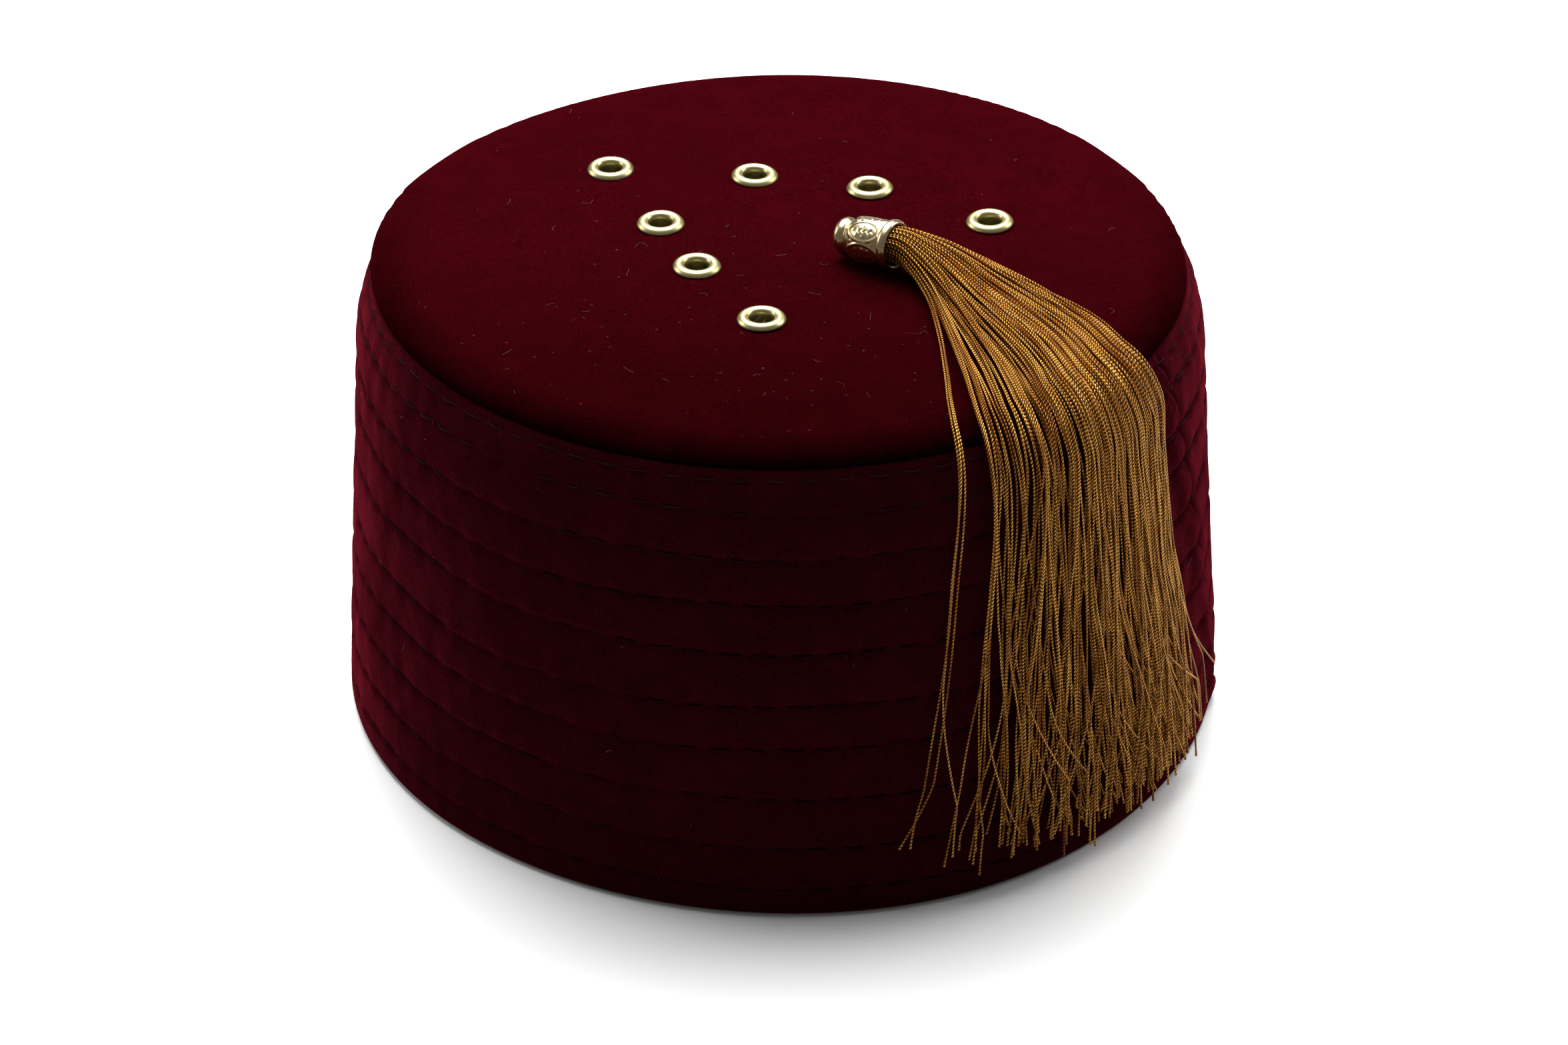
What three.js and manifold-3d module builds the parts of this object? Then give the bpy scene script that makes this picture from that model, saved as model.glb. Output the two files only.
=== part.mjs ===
// A fez: a quilted velvet side band, a stiff velvet crown pierced by seven brass eyelets, and a tassel
// that lies on the crown, with a metal cap and a fringe of threads that falls over the front right edge.
//
// Millimetres, +Z up. The origin is the centre of the rim's bottom plane, on which the hat stands.
// -Y is the front and +X the right. Azimuths are in degrees from +X, turning towards +Y.

import * as THREE from "three";
import { mergeVertices } from "three/addons/utils/BufferGeometryUtils.js";
import Module from "manifold-3d";

const wasm = await Module();
wasm.setup();

// Side band
const RIM_RADIUS = 95;
const SHOULDER_RADIUS = 88.8;
const NECK_RADIUS = 84.4;
const SHOULDER_Z = 81;
const BAND_TOP_Z = 99;
const BAND_THICKNESS = 3.2;
const RIM_ROUNDING = 0.8;
const STITCH_ROWS_Z = [6.4, 16.2, 27, 38.2, 47.8, 60.1, 71.1, 80.9, 91.5];
const STITCH_DEPTH = 0.5;
const PUFF_HEIGHT = 0.25;
const BAND_COLUMNS = 60;

// Lapped seam of the side band, which leans towards the back as it goes down
const LAP_AZIMUTH = -30;
const LAP_LEAN = 0.2;
const LAP_THICKNESS = 0.6;

// Crown
const CROWN_UNDERSIDE_Z = 99.3;
const CROWN_TOP_Z = 102.6;
const CROWN_DOME = 0.3;
const CROWN_FLAT_RADIUS = 76;
const CROWN_COLUMNS = 72;

// Eyelets
const EYELET_FLANGE_RADIUS = 5;
const EYELET_BORE_RADIUS = 2.45;
const EYELET_BARREL_RADIUS = 3;
const EYELET_COLUMNS = 20;
const GAP = 0.3;

// Eyelet centres: a V whose corner is at the back left
const EYELETS = [
  { name: "eyelet_1", x: -36.4, y: 34.2 },
  { name: "eyelet_2", x: -5.4, y: 30.4 },
  { name: "eyelet_3", x: 19.1, y: 24.3 },
  { name: "eyelet_4", x: 43.9, y: 8.8 },
  { name: "eyelet_5", x: -25.1, y: 9.0 },
  { name: "eyelet_6", x: -17.2, y: -9.9 },
  { name: "eyelet_7", x: -3.9, y: -32.2 },
];

// Tassel cap: the centre of its closed end and of its mouth, and its outline along that line
const CAP_END = new THREE.Vector3(11.5, -3.6, 107.1);
const CAP_MOUTH = new THREE.Vector3(23.8, -12.1, 108.6);
const CAP_LENGTH = CAP_END.distanceTo(CAP_MOUTH);
const CAP_WALL = 0.7;
const CAP_COLUMNS = 24;
const CAP_OUTLINE = [
  { along: 0, radius: 2.6 },
  { along: 0.03, radius: 3.5 },
  { along: 0.1, radius: 3.95 },
  { along: 0.19, radius: 3.9 },
  { along: 0.24, radius: 3.7 },
  { along: 0.38, radius: 4.6 },
  { along: 0.55, radius: 4.85 },
  { along: 0.75, radius: 4.75 },
  { along: 0.85, radius: 4.65 },
  { along: 0.88, radius: 5.1 },
  { along: 0.94, radius: 5.3 },
  { along: 1, radius: 4.95 },
];

// Tie that holds the cap down: a shank with a knot under the crown and another inside the cap
const TIE_RADIUS = 0.9;
const TIE_KNOT_RADIUS = 2;
const TIE_KNOT_HEIGHT = 1.2;

// Fringe across the crown: radius and height of its underside, the azimuths of its two edges, and
// its thickness in the middle
const FRINGE_ON_CROWN = [
  { radius: 25.6, z: 104.7, left: -35.5, right: -18.3, thick: 7.7 },
  { radius: 28, z: 104.6, left: -35.2, right: -18.2, thick: 7.8 },
  { radius: 32, z: 103.9, left: -37.5, right: -16, thick: 7.4 },
  { radius: 38.5, z: 103.2, left: -42.5, right: -14.5, thick: 6.4 },
  { radius: 49, z: 103, left: -51.5, right: -19.5, thick: 5 },
  { radius: 60, z: 102.9, left: -58.5, right: -24.5, thick: 4.2 },
  { radius: 71, z: 102.8, left: -63.5, right: -29.5, thick: 3.6 },
  { radius: 79, z: 102.5, left: -66, right: -33.5, thick: 3.3 },
  { radius: 83.2, z: 101.6, left: -67, right: -34.6, thick: 3.1 },
  { radius: 86, z: 99.6, left: -67.5, right: -34.8, thick: 3 },
  { radius: 87.6, z: 96.6, left: -67.8, right: -34.5, thick: 3 },
];

// Fringe down the side band, which it follows
const FRINGE_ON_BAND = [
  { z: 92, left: -68, right: -33.6, thick: 3 },
  { z: 84, left: -68.3, right: -33, thick: 3 },
  { z: 72, left: -69.2, right: -32, thick: 3 },
  { z: 58, left: -70.2, right: -31, thick: 3 },
  { z: 44, left: -71.2, right: -29, thick: 2.8 },
  { z: 30, left: -72.3, right: -27.6, thick: 2.6 },
  { z: 18, left: -73.6, right: -26.4, thick: 2.4 },
];
const FRINGE_END = { left: -74.6, right: -25.8, thick: 2 };
const FRINGE_END_Z = [9, 7, 5, 3.5, 3, 4, 6, 5, 4, 4.5, 4, 5, 7];
const FRINGE_EDGE = 0.12;

const velvet = { color: 0x45030d, roughness: 0.95 };
const brass = { color: 0xd9cf8f, roughness: 0.3, metalness: 1 };
const paleGold = { color: 0xd8cca4, roughness: 0.22, metalness: 1 };
const thread = { color: 0xb5813c, roughness: 0.6 };
const tieThread = { color: 0x6b4a24, roughness: 0.8 };

const radians = THREE.MathUtils.degToRad;

// A closed mesh from rows of points: neighbouring rows are joined, each row closes on itself, and the
// last row joins the first when the rows go all the way round.
function skin(rows) {
  const count = rows[0].length;
  const index = [];
  rows.forEach((_, i) => {
    const here = i * count;
    const next = ((i + 1) % rows.length) * count;
    for (let j = 0; j < count; j++) {
      const k = (j + 1) % count;
      index.push(here + j, next + j, next + k, here + j, next + k, here + k);
    }
  });
  return meshOf(rows.flat(), index);
}

// A closed slab between two grids of points, over and under, with the same rows and columns.
function slab(over, under) {
  const rows = over.length;
  const columns = over[0].length;
  const index = [];
  const quad = (a, b, c, d) => index.push(a, b, c, a, c, d);
  const top = (i, j) => i * columns + j;
  const base = (i, j) => rows * columns + top(i, j);
  for (let i = 0; i < rows - 1; i++) {
    for (let j = 0; j < columns - 1; j++) {
      quad(top(i, j), top(i + 1, j), top(i + 1, j + 1), top(i, j + 1));
      quad(base(i, j), base(i, j + 1), base(i + 1, j + 1), base(i + 1, j));
    }
    quad(top(i, 0), base(i, 0), base(i + 1, 0), top(i + 1, 0));
    quad(top(i + 1, columns - 1), base(i + 1, columns - 1), base(i, columns - 1), top(i, columns - 1));
  }
  for (let j = 0; j < columns - 1; j++) {
    quad(top(0, j), top(0, j + 1), base(0, j + 1), base(0, j));
    quad(top(rows - 1, j), base(rows - 1, j), base(rows - 1, j + 1), top(rows - 1, j + 1));
  }
  return meshOf([...over.flat(), ...under.flat()], index);
}

function meshOf(points, index) {
  const geometry = new THREE.BufferGeometry().setFromPoints(points);
  geometry.setIndex(index);
  geometry.computeVertexNormals();
  return geometry;
}

// A solid of revolution about +Z from [radius, z] pairs.
function turned(profile, columns) {
  const points = profile.map(([radius, z]) => new THREE.Vector2(radius, z));
  return new THREE.LatheGeometry(points, columns).rotateX(Math.PI / 2);
}

function toManifold(geometry) {
  const bare = geometry.clone();
  bare.deleteAttribute("normal");
  bare.deleteAttribute("uv");
  const merged = mergeVertices(bare, 1e-4);
  const mesh = new wasm.Mesh({
    numProp: 3,
    vertProperties: new Float32Array(merged.attributes.position.array),
    triVerts: new Uint32Array(merged.index.array),
  });
  return new wasm.Manifold(mesh);
}

// What is left of a solid once each of the tools has been cut from it.
function cut(solid, tools) {
  const left = tools.reduce((rest, tool) => rest.subtract(toManifold(tool)), toManifold(solid));
  const { vertProperties, triVerts } = left.getMesh();
  const geometry = new THREE.BufferGeometry();
  geometry.setAttribute("position", new THREE.BufferAttribute(new Float32Array(vertProperties), 3));
  geometry.setIndex(new THREE.BufferAttribute(new Uint32Array(triVerts), 1));
  geometry.computeVertexNormals();
  return geometry;
}

function piece(name, geometry, look) {
  const mesh = new THREE.Mesh(geometry, new THREE.MeshStandardMaterial(look));
  mesh.name = name;
  return mesh;
}

// The band's outside without its quilting: a straight flare from the rim, then a round shoulder.
function bandRadius(z) {
  if (z <= SHOULDER_Z) {
    return THREE.MathUtils.lerp(RIM_RADIUS, SHOULDER_RADIUS, z / SHOULDER_Z);
  }
  const rise = Math.min((z - SHOULDER_Z) / (BAND_TOP_Z - SHOULDER_Z), 1);
  return NECK_RADIUS + (SHOULDER_RADIUS - NECK_RADIUS) * Math.sqrt(1 - rise * rise);
}

function crownTop(radius) {
  return CROWN_TOP_Z - CROWN_DOME * (radius / CROWN_FLAT_RADIUS) ** 2;
}

// Up the outside, sunk at each row of stitching and puffed between, then down the plain inside.
function bandProfile() {
  const outside = [[RIM_RADIUS - RIM_ROUNDING, 0]];
  STITCH_ROWS_Z.forEach((z, i) => {
    const below = i ? (z + STITCH_ROWS_Z[i - 1]) / 2 : RIM_ROUNDING * 1.5;
    outside.push([bandRadius(below) + (i ? PUFF_HEIGHT : 0), below]);
    outside.push([bandRadius(z) - STITCH_DEPTH, z]);
  });
  outside.push([bandRadius(95), 95], [bandRadius(97.6), 97.6], [NECK_RADIUS, BAND_TOP_Z]);
  const inside = [98.2, 95, 90, 81, 54, 27, 1].map((z) => [bandRadius(z) - BAND_THICKNESS, z]);
  inside.unshift([NECK_RADIUS - BAND_THICKNESS, BAND_TOP_Z]);
  inside.push([bandRadius(0) - BAND_THICKNESS + RIM_ROUNDING, 0]);
  return { outside, inside };
}

// The columns lean with the seam, so the lap's step runs along one of them.
function sideBand() {
  const { outside, inside } = bandProfile();
  const step = 360 / BAND_COLUMNS;
  const columns = [];
  for (let turn = 0; turn < 360 - step; turn += step) {
    columns.push({ turn, lift: 0 });
  }
  columns.push(
    { turn: 360 - 4, lift: 0 },
    { turn: 360 - 2.4, lift: LAP_THICKNESS },
    { turn: 360 - 0.3, lift: LAP_THICKNESS },
  );
  const rows = columns.map(({ turn, lift }) => {
    const at = (radius, z) => {
      const angle = radians(LAP_AZIMUTH + turn + LAP_LEAN * (BAND_TOP_Z - z));
      return new THREE.Vector3(radius * Math.cos(angle), radius * Math.sin(angle), z);
    };
    const raised = (z) => (z > 1 && z < 98 ? lift : 0);
    return [
      ...outside.map(([radius, z]) => at(radius + raised(z), z)),
      ...inside.map(([radius, z]) => at(radius, z)),
    ];
  });
  return skin(rows);
}

// The crown's edge rolls down in a quarter ellipse to the seam with the band.
function crown(holes) {
  const edge = [0, 22.5, 45, 67.5, 90].map((turn) => [
    CROWN_FLAT_RADIUS + (NECK_RADIUS - CROWN_FLAT_RADIUS) * Math.sin(radians(turn)),
    BAND_TOP_Z + 0.8 + (crownTop(CROWN_FLAT_RADIUS) - BAND_TOP_Z - 0.8) * Math.cos(radians(turn)),
  ]);
  const profile = [
    [0, CROWN_UNDERSIDE_Z],
    [NECK_RADIUS - 0.5, CROWN_UNDERSIDE_Z],
    ...edge.reverse(),
    [40, crownTop(40)],
    [0, crownTop(0)],
  ];
  return cut(turned(profile, CROWN_COLUMNS), holes);
}

function drill(x, y, z, radius, length) {
  const hole = new THREE.CylinderGeometry(radius, radius, length, EYELET_COLUMNS).rotateX(Math.PI / 2);
  return hole.translate(x, y, z);
}

// Heights are from the crown's top face: the flange above it, the barrel through it, the roll below.
function eyelet() {
  const under = CROWN_UNDERSIDE_Z - CROWN_TOP_Z - GAP;
  return turned([
    [EYELET_BORE_RADIUS, under],
    [EYELET_BORE_RADIUS + 0.5, under - 0.7],
    [EYELET_BARREL_RADIUS + 0.8, under - 0.9],
    [EYELET_BARREL_RADIUS + 1.5, under - 0.5],
    [EYELET_BARREL_RADIUS + 1.3, under],
    [EYELET_BARREL_RADIUS, under],
    [EYELET_BARREL_RADIUS, GAP],
    [EYELET_FLANGE_RADIUS, GAP],
    [EYELET_FLANGE_RADIUS - 0.2, GAP + 0.5],
    [EYELET_FLANGE_RADIUS - 1.1, GAP + 0.9],
    [EYELET_BARREL_RADIUS, GAP + 0.8],
    [EYELET_BORE_RADIUS, GAP + 0.1],
    [EYELET_BORE_RADIUS, under],
  ], EYELET_COLUMNS);
}

// Turned about +Z with its closed end at 0, laid along the line from end to mouth, and pierced
// from below for the tie.
function tasselCap(tieHole) {
  const outer = CAP_OUTLINE.map(({ along, radius }) => [radius, along * CAP_LENGTH]);
  const inner = CAP_OUTLINE.slice(3).reverse();
  const bore = inner.map(({ along, radius }) => [Math.min(radius, 5) - CAP_WALL, along * CAP_LENGTH]);
  const profile = [[0, 0], ...outer, ...bore, [0, CAP_OUTLINE[3].along * CAP_LENGTH - 0.8]];
  const body = turned(profile, CAP_COLUMNS);
  const axis = CAP_MOUTH.clone().sub(CAP_END).normalize();
  const turn = new THREE.Quaternion().setFromUnitVectors(new THREE.Vector3(0, 0, 1), axis);
  body.applyQuaternion(turn).translate(CAP_END.x, CAP_END.y, CAP_END.z);
  return cut(body, [tieHole]);
}

function tie() {
  const knot = CROWN_UNDERSIDE_Z - GAP;
  const head = CAP_END.z + 0.6;
  return turned([
    [0, knot - TIE_KNOT_HEIGHT],
    [TIE_KNOT_RADIUS - 0.5, knot - TIE_KNOT_HEIGHT],
    [TIE_KNOT_RADIUS, knot - TIE_KNOT_HEIGHT / 2],
    [TIE_KNOT_RADIUS - 0.3, knot],
    [TIE_RADIUS, knot],
    [TIE_RADIUS, head - TIE_KNOT_HEIGHT],
    [TIE_KNOT_RADIUS - 0.3, head - TIE_KNOT_HEIGHT],
    [TIE_KNOT_RADIUS - 0.3, head - 0.3],
    [0, head],
  ], 12);
}

// Stations run from the cap's mouth to the ends, each a lens between the fringe's two edges. Its
// thickness is laid off square to the underside.
function fringe() {
  const onBand = FRINGE_ON_BAND.map((row) => ({
    ...row,
    radius: bandRadius(row.z) + PUFF_HEIGHT + 0.35,
  }));
  const last = { ...FRINGE_END, z: 6, radius: bandRadius(6) + PUFF_HEIGHT + 0.35 };
  const stations = [...FRINGE_ON_CROWN, ...onBand, last];
  const columns = FRINGE_END_Z.length;
  const over = [];
  const under = [];
  stations.forEach((station, i) => {
    const before = stations[Math.max(i - 1, 0)];
    const after = stations[Math.min(i + 1, stations.length - 1)];
    const run = new THREE.Vector2(after.radius - before.radius, after.z - before.z).normalize();
    const overRow = [];
    const underRow = [];
    for (let j = 0; j < columns; j++) {
      const across = j / (columns - 1);
      const angle = radians(THREE.MathUtils.lerp(station.left, station.right, across));
      const swell = Math.sqrt(1 - (2 * across - 1) ** 2 * (1 - FRINGE_EDGE ** 2));
      const round = i < 2 ? 0.5 - 0.5 * swell : 0;
      const low = station.thick * round;
      const high = station.thick * (i < 2 ? 0.5 + 0.5 * swell : swell);
      const z = i === stations.length - 1 ? FRINGE_END_Z[j] : station.z;
      const base = i === stations.length - 1 ? bandRadius(z) + PUFF_HEIGHT + 0.35 : station.radius;
      const at = (lift) => {
        const radius = base - run.y * lift;
        return new THREE.Vector3(radius * Math.cos(angle), radius * Math.sin(angle), z + run.x * lift);
      };
      overRow.push(at(high));
      underRow.push(at(low));
    }
    over.push(overRow);
    under.push(underRow);
  });
  return slab(over, under);
}

// The tie stands under the cap's closed half.
const tieAt = CAP_END.clone().lerp(CAP_MOUTH, 0.42);
const tieBore = TIE_RADIUS + GAP;
const tieThroughCrown = drill(tieAt.x, tieAt.y, CROWN_UNDERSIDE_Z, tieBore, 20);
const tieThroughCap = drill(tieAt.x, tieAt.y, CAP_END.z - 5, tieBore, 10);
const eyeletHoles = EYELETS.map(({ x, y }) => drill(x, y, CROWN_TOP_Z, EYELET_BARREL_RADIUS + GAP, 20));

const fez = new THREE.Group();
fez.add(piece("side_band", sideBand(), velvet));
fez.add(piece("crown", crown([...eyeletHoles, tieThroughCrown]), velvet));
EYELETS.forEach(({ name, x, y }) => {
  const mesh = piece(name, eyelet(), brass);
  mesh.position.set(x, y, crownTop(Math.hypot(x, y)));
  fez.add(mesh);
});
fez.add(piece("tassel_cap", tasselCap(tieThroughCap), paleGold));
fez.add(piece("tassel_fringe", fringe(), thread));
const shank = piece("tassel_tie", tie(), tieThread);
shank.position.set(tieAt.x, tieAt.y, 0);
fez.add(shank);

export default fez;
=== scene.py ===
import math

import bpy
import numpy as np
from mathutils import Matrix, Vector
from mathutils.geometry import delaunay_2d_cdt


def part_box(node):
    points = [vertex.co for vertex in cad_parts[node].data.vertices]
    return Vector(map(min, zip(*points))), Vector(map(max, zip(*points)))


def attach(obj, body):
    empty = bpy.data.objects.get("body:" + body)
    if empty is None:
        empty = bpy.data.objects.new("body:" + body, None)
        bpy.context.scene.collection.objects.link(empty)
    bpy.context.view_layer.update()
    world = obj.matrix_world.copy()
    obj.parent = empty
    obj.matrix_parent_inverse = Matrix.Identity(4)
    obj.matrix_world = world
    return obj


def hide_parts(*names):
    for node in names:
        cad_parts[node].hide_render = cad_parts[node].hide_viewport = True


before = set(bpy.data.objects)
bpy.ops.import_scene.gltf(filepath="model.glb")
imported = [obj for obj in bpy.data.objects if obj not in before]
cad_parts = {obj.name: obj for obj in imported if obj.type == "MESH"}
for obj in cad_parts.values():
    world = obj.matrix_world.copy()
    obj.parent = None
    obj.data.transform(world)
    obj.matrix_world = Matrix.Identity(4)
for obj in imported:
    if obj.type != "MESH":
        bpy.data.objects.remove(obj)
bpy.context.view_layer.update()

# A velvet fez with a quilted side band, seven brass eyelets and a golden tassel.
# Shapes are worked out in millimetres in the frame of the CAD part and turned to metres when a mesh
# is made. Azimuths turn from +X towards +Y.

MM = 0.001
TAU = 2 * math.pi
rng = np.random.default_rng(11)


def box_mm(node):
    low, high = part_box(node)
    return np.array(low) / MM, np.array(high) / MM


# ---------------------------------------------------------------- sizes

CROWN_LOW, CROWN_HIGH = box_mm("crown")
RIM_RADIUS = 95.0
MIDDLE_RADIUS = 92.0
SHOULDER_RADIUS = 88.8
NECK_RADIUS = CROWN_HIGH[0]
SHOULDER_Z = 81.0
BAND_TOP_Z = box_mm("side_band")[1][2]
BAND_THICKNESS = 3.2
HEM_RADIUS = 1.6
CROWN_TOP_Z = CROWN_HIGH[2]
CROWN_UNDERSIDE_Z = CROWN_LOW[2]
CROWN_FLAT_RADIUS = 75.0
CROWN_DOME = 0.4

STITCH_ROWS = [6.4, 16.2, 27.0, 38.2, 47.8, 60.1, 71.1, 80.9, 91.0, 97.0]
ROW_BOUNDS = [0.0, *STITCH_ROWS, BAND_TOP_Z]
STITCHES_AROUND = 80
STITCH_SHARE = 0.66
STITCH_RADIUS = 0.17

LAP_AZIMUTH = math.radians(-30)
LAP_LEAN = math.radians(0.2)

EYELETS = [f"eyelet_{i}" for i in range(1, 8)]
EYELET_HOLE = 3.4
TIE_HOLE = 1.3

CAP_END = np.array([12.4, -4.6, 107.0])
CAP_MOUTH = np.array([23.8, -12.3, 108.5])
CAP_PATTERN_LENGTH = 15.0
CAP_BARREL_RADIUS = 4.8
CAP_BARREL_MIDDLE = 8.0

# How far the hat is from round: (lobes, rim cos, rim sin, neck cos, neck sin)
OUT_OF_ROUND = [
    (2, 0.0, -0.42, 0.0, -0.26),
    (3, -0.18, 0.0, -0.32, 0.0),
    (4, 0.0, 0.39, 0.0, -0.24),
]

# Fringe: radius and height of its underside, the azimuths of its edges in degrees, its thickness,
# and how round its section is (1 in the cap's mouth, 0 where it lies flat)
FRINGE = [
    (22.6, 104.75, -35.6, -18.4, 7.6, 1.0),
    (25.6, 104.75, -35.4, -18.4, 7.6, 1.0),
    (28.0, 104.6, -35.2, -18.2, 7.8, 1.0),
    (32.0, 103.9, -37.5, -16.0, 7.4, 0.7),
    (38.5, 103.2, -42.5, -14.5, 6.4, 0.3),
    (49.0, 103.0, -51.5, -19.5, 5.0, 0.1),
    (60.0, 102.9, -58.5, -24.5, 4.2, 0.0),
    (71.0, 102.8, -63.5, -29.5, 3.6, 0.0),
    (79.0, 102.5, -66.0, -33.5, 3.3, 0.0),
    (83.2, 101.6, -67.0, -34.6, 3.1, 0.0),
    (86.0, 99.6, -67.5, -34.8, 3.0, 0.0),
    (87.9, 96.6, -67.8, -34.5, 3.0, 0.0),
    (88.8, 92.0, -68.0, -33.6, 3.0, 0.0),
    (89.3, 84.0, -68.3, -33.0, 3.0, 0.0),
    (90.2, 72.0, -69.2, -32.0, 3.0, 0.0),
    (91.3, 58.0, -70.2, -31.0, 3.0, 0.0),
    (92.3, 44.0, -71.2, -29.0, 2.8, 0.0),
    (93.4, 30.0, -72.3, -27.6, 2.6, 0.0),
    (94.3, 18.0, -73.6, -26.4, 2.4, 0.0),
    (95.5, 1.0, -75.0, -25.4, 2.2, 0.0),
]
THREADS = 222
THREAD_RADIUS = 0.2
THREAD_STEPS = 110
THREAD_LENGTH = 163.0
SHORTEST_THREAD = 150.0
LOWEST_THREAD_Z = 1.6
TWIST_PITCH = 0.8
STRAY_RANK = 0.013  # the share of the threads that stray at the fringe's left
GOLDEN_ANGLE = 2.39996323
UV_STRIDE = 97.0  # keeps the colours of one thread apart from the next one's


# ---------------------------------------------------------------- meshes

def mesh_object(name, points, faces, materials, uv=None, slots=None):
    """A smooth mesh from points in millimetres. uv has a row for each face corner."""
    mesh = bpy.data.meshes.new(name)
    mesh.from_pydata((np.asarray(points, float) * MM).tolist(), [], faces)
    mesh.polygons.foreach_set("use_smooth", np.ones(len(mesh.polygons), bool))
    for material in materials:
        mesh.materials.append(material)
    if slots is not None:
        mesh.polygons.foreach_set("material_index", np.asarray(slots, np.int32))
    if uv is not None:
        mesh.uv_layers.new(name="UVMap").data.foreach_set("uv", np.asarray(uv, np.float32).ravel())
    mesh.update()
    obj = bpy.data.objects.new(name, mesh)
    bpy.context.scene.collection.objects.link(obj)
    return obj


def wrapped_grid(rows, columns, wrap_rows=True):
    """Quads over a rows x columns grid that closes round its columns; point i * columns + j."""
    i = np.arange(rows if wrap_rows else rows - 1)[:, None]
    j = np.arange(columns)[None, :]
    i2, j2 = (i + 1) % rows, (j + 1) % columns
    quads = np.stack(
        [i * columns + j, i2 * columns + j, i2 * columns + j2, i * columns + j2], -1
    )
    return quads.reshape(-1, 4)


def tubes(name, paths, radius, sides, up, materials, flare=1.0):
    """Round closed tubes along paths (n, m, 3), joined in one mesh.

    u runs round each tube and v along it in millimetres. flare widens the last ring.
    """
    n, m, _ = paths.shape
    along = np.gradient(paths, axis=1)
    along /= np.linalg.norm(along, axis=2, keepdims=True) + 1e-12
    side = np.cross(along, np.broadcast_to(up, paths.shape))
    side /= np.linalg.norm(side, axis=2, keepdims=True) + 1e-12
    over = np.cross(side, along)
    turn = np.arange(sides) / sides * TAU
    r = np.broadcast_to(np.asarray(radius, float).reshape(-1, 1), (n, m)).copy()
    r[:, -1] *= flare
    ring = (side[:, :, None, :] * np.cos(turn)[:, None]
            + over[:, :, None, :] * np.sin(turn)[:, None])
    points = paths[:, :, None, :] + ring * r[:, :, None, None]
    quads = wrapped_grid(m, sides, wrap_rows=False)[:, ::-1]
    quads = (quads[None] + (np.arange(n) * m * sides)[:, None, None]).reshape(-1, 4)
    faces = quads.tolist()
    steps = np.diff(paths, axis=1, prepend=paths[:, :1])
    length = np.cumsum(np.linalg.norm(steps, axis=2), axis=1)
    corner = quads % (m * sides)
    thread = quads[:, 0] // (m * sides)
    around = (corner % sides) / sides
    wraps = (around.max(1) - around.min(1)) > 0.5
    around = np.where(wraps[:, None] & (around < 0.5), around + 1, around)
    along_uv = length[thread[:, None], corner // sides] + UV_STRIDE * thread[:, None]
    uv = np.stack([around, along_uv], -1).reshape(-1, 2)
    for start in range(0, n * m * sides, m * sides):
        end = start + (m - 1) * sides
        faces.append([start + k for k in range(sides)])
        faces.append([end + k for k in reversed(range(sides))])
    uv = np.concatenate([uv, np.zeros((2 * n * sides, 2))])
    return mesh_object(name, points.reshape(-1, 3), faces, materials, uv=uv)


def turned(profile, columns):
    """Points (rows, columns, 3) of a profile of (radius, height) turned about +Z."""
    profile = np.asarray(profile, float)
    turn = np.arange(columns) / columns * TAU
    return np.stack([
        profile[:, :1] * np.cos(turn), profile[:, :1] * np.sin(turn),
        np.repeat(profile[:, 1:], columns, 1),
    ], -1)


def smooth_curve(points, count):
    """A Catmull-Rom curve through points, in count even steps of its parameter."""
    p = np.asarray(points, float)
    p = np.vstack([2 * p[0] - p[1], p, 2 * p[-1] - p[-2]])
    t = np.linspace(0, len(p) - 3 - 1e-9, count)
    i = t.astype(int)
    f = (t - i)[:, None]
    a, b, c, d = p[i], p[i + 1], p[i + 2], p[i + 3]
    return 0.5 * (2 * b + (c - a) * f + (2 * a - 5 * b + 4 * c - d) * f ** 2
                  + (3 * b - a - 3 * c + d) * f ** 3)


def ripple(az, height, waves, around, up):
    """Soft unevenness of about unit size, that closes on itself round the hat."""
    total = 0
    for _ in range(waves):
        m = rng.integers(around[0], around[1] + 1)
        q = rng.uniform(-1, 1) * TAU / up
        total = total + np.cos(m * az + q * height + rng.uniform(0, TAU))
    return total / math.sqrt(waves)


def smoothstep(x, low, high):
    t = np.clip((x - low) / (high - low), 0, 1)
    return t * t * (3 - 2 * t)


def bell(x, width):
    return np.exp(-(x / width) ** 2)


# ---------------------------------------------------------------- materials

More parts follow.
